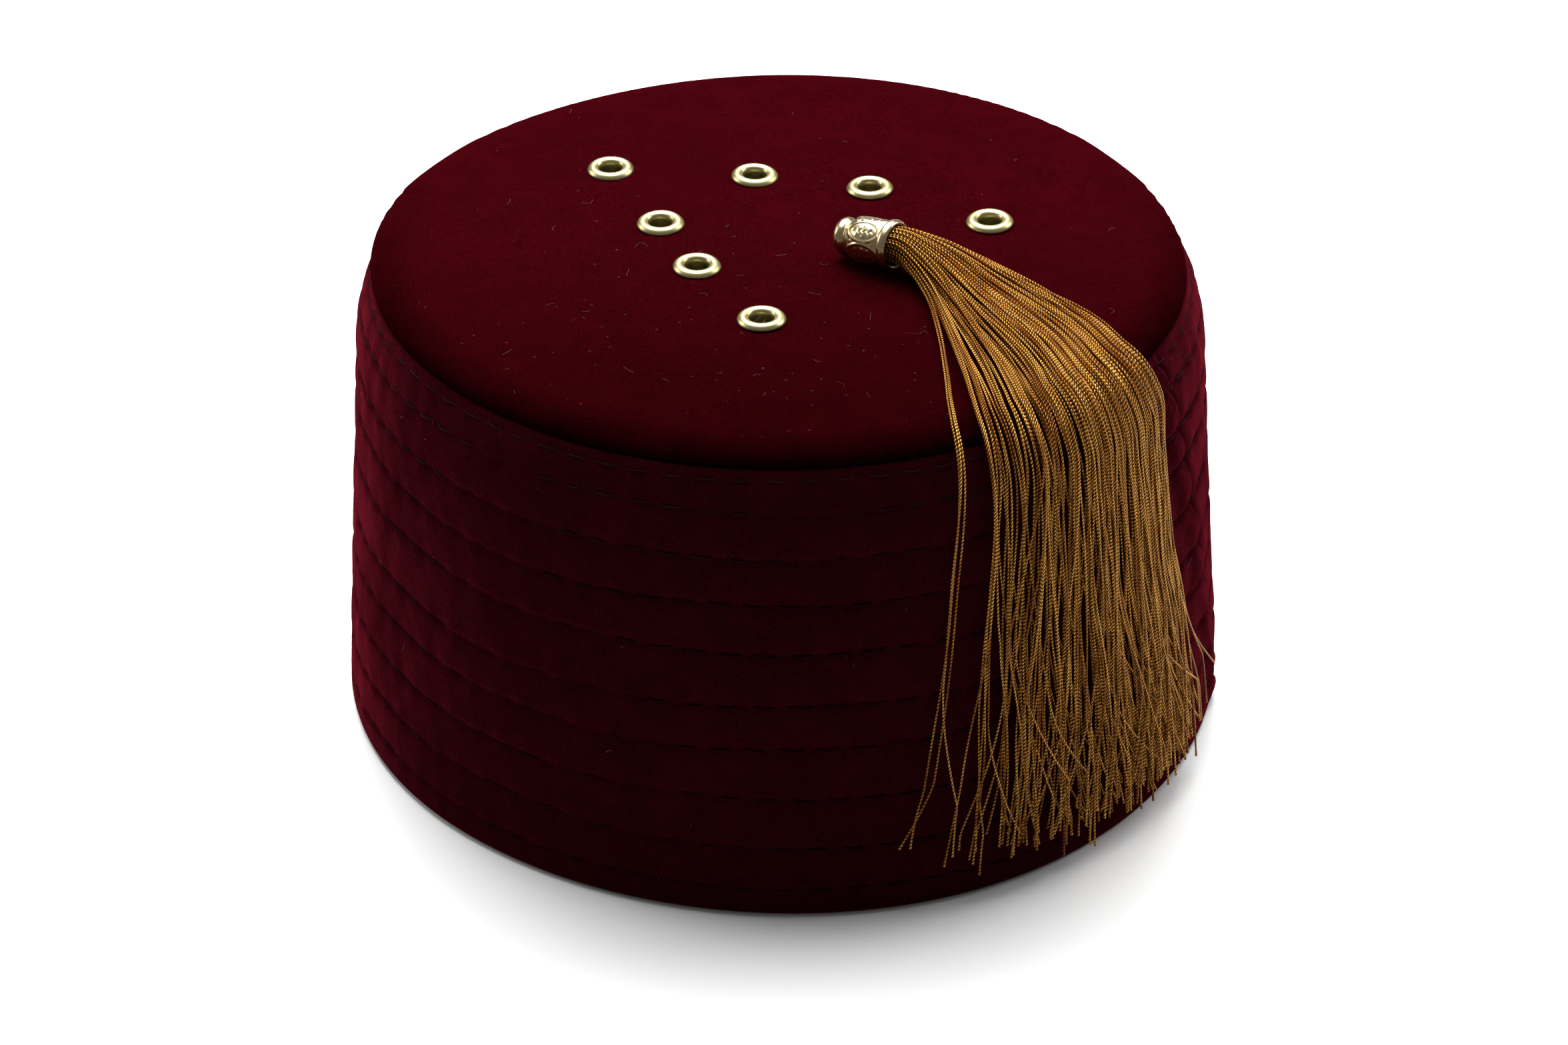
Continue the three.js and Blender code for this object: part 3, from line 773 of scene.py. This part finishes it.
def tassel_cap():
    """A hollow bead with a knob at its end, an embossed barrel and a rolled mouth."""
    axis = CAP_MOUTH - CAP_END
    length = np.linalg.norm(axis)
    axis = axis / length
    outline = [
        (0.0, 0.35), (0.9, 0.12), (1.8, 0.0), (2.8, 0.08), (3.5, 0.45), (3.9, 1.1), (4.0, 1.8),
        (3.85, 2.5), (3.62, 2.95), (3.68, 3.3), (4.15, 4.2), (4.55, 5.4), (4.78, 7.0), (4.84, 8.6),
        (4.78, 10.2), (4.66, 11.6), (4.5, 12.45), (4.62, 12.75), (5.05, 12.95), (5.28, 13.45),
        (5.3, 14.1), (5.1, 14.7), (4.75, 15.0), (4.4, 14.85), (4.2, 14.4),
    ]
    bore = [(4.1, 13.2), (4.05, 11.5), (4.0, 8.0), (3.5, 4.5), (2.5, 3.6), (0.0, 3.4)]
    profile = smooth_curve([*outline, *bore], 300)
    profile[:, 0] = np.maximum(profile[:, 0], 0)
    profile[:, 1] *= length / CAP_PATTERN_LENGTH
    rows, columns = len(profile), 150
    grid = turned(profile, columns)
    turn = np.arange(columns) / columns * TAU
    outside = np.arange(rows)[:, None] < int(rows * 0.6)
    along = profile[:, 1:] - CAP_BARREL_MIDDLE
    mask = outside * smoothstep(along, -4.6, -3.9) * (1 - smoothstep(along, 3.6, 4.2))
    lift = cap_relief(along, turn[None, :] * CAP_BARREL_RADIUS) * mask
    grid[..., 0] += lift * np.cos(turn)
    grid[..., 1] += lift * np.sin(turn)
    faced = np.array([0.1, -0.72, 0.69])  # the middle of a leaf turns this way
    front = faced - axis * (faced @ axis)
    front /= np.linalg.norm(front)
    third = np.cross(axis, front)
    points = (grid[..., :1] * front + grid[..., 1:2] * third + grid[..., 2:] * axis) + CAP_END
    flat = np.vstack([points.reshape(-1, 3), points[0].mean(0), points[-1].mean(0)])
    body = wrapped_grid(rows, columns, wrap_rows=False)
    body = body[(body >= columns).all(1) & (body < (rows - 1) * columns).all(1)]
    start, end = rows * columns, rows * columns + 1
    fans = []
    for k in range(columns):
        k2 = (k + 1) % columns
        fans.append([start, columns + k, columns + k2])
        fans.append([end, (rows - 2) * columns + k2, (rows - 2) * columns + k])
    used = np.zeros(len(flat), bool)
    used[columns:(rows - 1) * columns] = True
    used[[start, end]] = True
    renumber = np.cumsum(used) - 1
    faces = [[int(renumber[i]) for i in f][::-1] for f in [*body.tolist(), *fans]]
    piece = mesh_object("embossed_tassel_cap", flat[used], faces, [PALE_GOLD])
    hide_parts("tassel_cap")
    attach(piece, "root")


def fringe_curves():
    """The stations of FRINGE as smooth curves over the length of the fringe's middle line."""
    table = smooth_curve(FRINGE, 600)
    r, z = table[:, 0], table[:, 1]
    middle = np.radians(table[:, 2:4].mean(1))
    line = np.stack([r * np.cos(middle), r * np.sin(middle), z], -1)
    s = np.concatenate([[0], np.cumsum(np.linalg.norm(np.diff(line, axis=0), axis=1))])
    slope = np.stack([np.gradient(r), np.gradient(z)], -1)
    slope /= np.linalg.norm(slope, axis=1, keepdims=True)
    return s, table, slope


def thread_paths(count, samples):
    """Each thread keeps its place across the mouth, spreads over the crown and falls in clumps.

    u is a thread's place between the fringe's left and right edges, and h its height in it.
    """
    s, table, slope = fringe_curves()
    reach = s[-1]
    k = np.arange(count)
    disc_r = np.sqrt((k + 0.5) / count) * 0.97
    disc_a = k * GOLDEN_ANGLE
    x, y = disc_r * np.cos(disc_a), disc_r * np.sin(disc_a)
    u0 = (x + 1) / 2
    h0 = (y / np.sqrt(1 - x ** 2) + 1) / 2
    rank = np.argsort(np.argsort(u0)) / (count - 1)
    stray = rank < STRAY_RANK
    spread = np.interp(rank, [0, 0.012, STRAY_RANK, 0.045, 0.11, 0.33, 1],
                       [0, 0.035, 0.11, 0.2, 0.29, 0.55, 1])
    spread = spread + rng.normal(0, 0.008, count)
    gathered = []
    for left_step, right_step in ((0.056, 0.036), (0.064, 0.04)):
        clumps = np.concatenate([[0.105, 0.15], np.arange(0.21, 0.68, left_step),
                                 np.arange(0.71, 1.0, right_step)])
        clumps = clumps + rng.uniform(-0.012, 0.012, len(clumps))
        leaning = spread + rng.normal(0, 0.02, count)
        nearest = clumps[np.abs(leaning[:, None] - clumps).argmin(1)]
        share = np.where(stray, 0, rng.uniform(0.85, 1.0, count))
        gathered.append(spread + (nearest - spread) * share + rng.normal(0, 0.008, count))
    cross = np.where(stray, 0, rng.normal(0, 0.034, count))
    at = np.linspace(0, 1, 700) * reach
    out = smoothstep(at, 8, 62)[None, :]
    fall = smoothstep(at, 92, 165)[None, :]
    u = u0[:, None] * (1 - out) + spread[:, None] * out
    first, second = smoothstep(at, 60, 98)[None, :], smoothstep(at, 106, 140)[None, :]
    u = (u + (gathered[0] - spread)[:, None] * first
         + (gathered[1] - gathered[0])[:, None] * second + cross[:, None] * fall)
    stagger = np.where(rng.uniform(size=count) < 0.6, rng.normal(0, 0.06, count), 0) * ~stray
    u = u + stagger[:, None] * np.sin(math.pi * np.clip((at - 12) / 100, 0, 1))[None, :]
    waves = rng.uniform(0, TAU, (count, 3))
    sizes = rng.uniform(0.3, 1.0, (count, 3))
    sway = (np.sin(at / 9.0 + waves[:, :1]) * sizes[:, :1] * 0.0035
            + np.sin(at / 17.0 + waves[:, 1:2]) * sizes[:, 1:2] * 0.008
            + np.sin(at / 38.0 + waves[:, 2:]) * sizes[:, 2:] * 0.015)
    u = u + sway * smoothstep(at, 15, 100)[None, :]
    end_from = reach - rng.uniform(20, 55, count)
    tail = np.clip((at[None, :] - end_from[:, None]) / 26, 0, 1.2)
    u = u + rng.normal(0, 0.07, count)[:, None] * tail ** 1.6
    u = u + np.where(stray, -0.05, 0.0)[:, None] * tail
    h = h0[:, None] * (1 - 0.35 * out) + 0.35 * out * rng.uniform(0, 1, count)[:, None]
    h = np.clip(h + 0.1 * np.sin(at / 21.0 + waves[:, :1] * 3) * out, 0.02, 1)
    r, z, left, right, thick, roundness = (np.interp(at, s, column) for column in table.T)
    nr = np.interp(at, s, -slope[:, 1])
    nz = np.interp(at, s, slope[:, 0])
    az = np.radians(left + (right - left) * u)
    swell = np.sqrt(np.clip(1 - (2 * np.clip(u, 0, 1) - 1) ** 2, 0.02, 1))
    low = thick * roundness * (0.5 - 0.5 * swell)
    high = thick * (roundness * (0.5 + 0.5 * swell) + (1 - roundness) * (0.35 + 0.65 * swell))
    lift = low + (high - low) * h
    lift = lift + rng.gamma(1.2, 0.6, count)[:, None] * tail ** 2 + THREAD_RADIUS
    radius = r + nr * lift
    height = z + nz * lift
    radius = radius + out_of_round(az, 0.5) * smoothstep(radius, 50, 80)
    paths = np.stack([radius * np.cos(az), radius * np.sin(az), height], -1)
    steps = np.linalg.norm(np.diff(paths, axis=1), axis=2)
    lengths = np.concatenate([np.zeros((count, 1)), np.cumsum(steps, axis=1)], 1)
    wanted = np.maximum(THREAD_LENGTH + rng.normal(0, 2.4, count), SHORTEST_THREAD)
    result = np.empty((count, samples, 3))
    for path, length, stop, cut in zip(paths, lengths, wanted, result):
        stop = min(stop, length[-1], *length[path[:, 2] < LOWEST_THREAD_Z][:1])
        where = np.linspace(0, stop, samples)
        for c in range(3):
            cut[:, c] = np.interp(where, length, path[:, c])
    return result[np.argsort(rank)]


def tassel_fringe():
    """The threads from left to right, in four pieces."""
    paths = thread_paths(THREADS, THREAD_STEPS)
    radial = paths * [1, 1, 0]
    radial /= np.linalg.norm(radial, axis=2, keepdims=True)
    mostly_up = smoothstep(np.hypot(paths[..., 0], paths[..., 1]), 90, 75)[..., None]
    up = radial * (1 - mostly_up) + np.array([0, 0, 1]) * mostly_up
    groups = np.array_split(np.arange(len(paths)), 4)
    names = ("threads_left", "threads_middle_left", "threads_middle_right", "threads_right")
    for i, (name, group) in enumerate(zip(names, groups)):
        piece = tubes(name, paths[group], THREAD_RADIUS, 6, up[group], [GOLD_THREAD],
                      flare=1.3)
        if i == 0:
            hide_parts("tassel_fringe")
        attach(piece, "root")


def tassel_tie():
    """Four strands of sewing thread up through the crown, with a wound knot under it."""
    low, high = box_mm("tassel_tie")
    centre = (low + high) / 2
    strands = []
    t = np.linspace(0, 1, 40)
    for k in range(4):
        a = TAU * k / 4 + t * 2.5
        strands.append(np.stack([
            centre[0] + 0.42 * np.cos(a), centre[1] + 0.42 * np.sin(a),
            low[2] + 0.5 + (high[2] - low[2] - 1.0) * t], -1))
    for k in range(7):
        a = t * TAU
        lean = rng.normal(0, 0.5, 2)
        ring = np.stack([np.cos(a) * 1.25, np.sin(a) * 1.25,
                         0.25 * np.sin(a * 2 + k) + lean[0] * 0.35 * np.cos(a)], -1)
        ring[:, 2] += low[2] + 0.65 + 0.1 * (k % 3)
        ring[:, 0] += centre[0] + lean[1] * 0.2
        ring[:, 1] += centre[1] - lean[0] * 0.2
        strands.append(ring)
    steady = np.array([0.3, 0.2, 0.93])
    piece = tubes("tie_knot", np.array(strands), 0.26, 6, steady, [TIE_THREAD])
    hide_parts("tassel_tie")
    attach(piece, "root")


# ---------------------------------------------------------------- lint

def lint():
    """Short pale fibres and specks caught in the pile, most of them on the front of the crown."""
    n = Nodes("lint_fibre")
    tone = n.ramp(n.noise(240, 2), [(0.35, (0.035, 0.006, 0.008)), (0.65, (0.1, 0.05, 0.05))])
    n.set(Base_Color=tone, Roughness=0.8)
    fibres, fibres_on_crown = 200, 155
    t = np.linspace(-0.5, 0.5, 9)
    paths, sizes = [], []
    for number in range(fibres):
        length = rng.uniform(0.3, 0.8) if rng.uniform() < 0.75 else rng.uniform(1.0, 3.2)
        heading = rng.uniform(0, TAU)
        curl = rng.normal(0, 0.55) * (1.2 if length > 1.3 else 0.4)
        bend = curl * (t * 2) ** 2
        x = length * t * np.cos(heading) - bend * np.sin(heading)
        y = length * t * np.sin(heading) + bend * np.cos(heading)
        rise = 0.06 + 0.1 * rng.uniform() * np.cos(t * 3)
        if number < fibres_on_crown:
            r = 79 * math.sqrt(rng.uniform())
            a = (rng.uniform(0, TAU) if rng.uniform() < 0.3
                 else rng.normal(math.radians(-110), 0.7))
            if r > CROWN_FLAT_RADIUS:
                z = np.interp(r, EDGE_R[:EDGE_STEPS], EDGE_Z[:EDGE_STEPS])
            else:
                z = CROWN_TOP_Z - CROWN_DOME * (r / CROWN_FLAT_RADIUS) ** 2
            path = np.stack([r * math.cos(a) + x, r * math.sin(a) + y, z + rise], -1)
        else:
            a = rng.uniform(math.radians(-175), math.radians(-10))
            v = rng.uniform(6, 94)
            az = a + x / MIDDLE_RADIUS
            radius, height = band_surface(az, v + y)
            radius = radius + rise + 0.1
            path = np.stack([radius * np.cos(az), radius * np.sin(az), height], -1)
        paths.append(path)
        sizes.append(rng.uniform(0.018, 0.042))
    steady = np.array([0.05, 0.1, 0.99])
    piece = tubes("velvet_lint", np.array(paths), np.array(sizes), 4, steady, [n.material])
    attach(piece, "root")


side_band()
stitching()
crown()
eyelets()
tassel_cap()
tassel_fringe()
tassel_tie()
lint()


# ---------------------------------------------------------------- studio

FLOOR_HALF = 6000
FLOOR_Z = -0.15


def floor():
    """A plain white sweep, a hair below the rim."""
    n = Nodes("studio_floor")
    tone = n.mix(n.math("MULTIPLY", n.noise(3, 2), 0.3), (0.76, 0.76, 0.76), (0.74, 0.74, 0.745))
    n.set(Base_Color=tone, Roughness=0.9)
    corners = [(FLOOR_HALF * x, FLOOR_HALF * y, FLOOR_Z)
               for x, y in ((-1, -1), (1, -1), (1, 1), (-1, 1))]
    mesh_object("floor", corners, [[0, 1, 2, 3]], [n.material])


def area_light(name, place, aim, size, energy):
    data = bpy.data.lights.new(name, "AREA")
    data.shape = "DISK"
    data.size = size
    data.energy = energy
    light = bpy.data.objects.new(name, data)
    light.location = place
    light.rotation_mode = "QUATERNION"
    light.rotation_quaternion = (Vector(aim) - Vector(place)).to_track_quat("-Z", "Y")
    bpy.context.scene.collection.objects.link(light)


def studio():
    floor()
    area_light("overhead", (-0.05, 0.6, 1.25), (0, 0, 0.08), 1.5, 66)
    area_light("back_right", (1.15, 0.5, 0.8), (0, 0, 0.06), 0.7, 9)
    area_light("back_left", (-1.2, 0.4, 0.6), (0, 0, 0.06), 0.7, 6)
    world = bpy.data.worlds.new("studio")
    world.use_nodes = True
    background = world.node_tree.nodes["Background"]
    background.inputs["Color"].default_value = (1, 1, 1, 1)
    background.inputs["Strength"].default_value = 0.2
    bpy.context.scene.world = world
    bpy.context.scene.view_settings.view_transform = "Standard"


# The camera stands 0.875 m off and looks down at 32 degrees, barely rolled.
CAMERA_AIM = Vector((0.0003, 0, 0.0341))
CAMERA_DISTANCE = 0.8754
CAMERA_ELEVATION = math.radians(32.206)
CAMERA_ROLL = math.radians(-0.424)
CAMERA_LENS = 92.69


def camera():
    data = bpy.data.cameras.new("camera")
    data.lens = CAMERA_LENS
    data.sensor_width = 36
    data.clip_start, data.clip_end = 0.05, 50
    eye = bpy.data.objects.new("camera", data)
    look = Vector((0, math.cos(CAMERA_ELEVATION), -math.sin(CAMERA_ELEVATION)))
    right = Vector((1, 0, 0))
    up = right.cross(look)
    level = right * math.cos(CAMERA_ROLL) + up * math.sin(CAMERA_ROLL)
    upright = up * math.cos(CAMERA_ROLL) - right * math.sin(CAMERA_ROLL)
    turn = Matrix((level, upright, -look)).transposed()
    eye.matrix_world = Matrix.Translation(CAMERA_AIM - look * CAMERA_DISTANCE) @ turn.to_4x4()
    bpy.context.scene.collection.objects.link(eye)
    bpy.context.scene.camera = eye


studio()
camera()
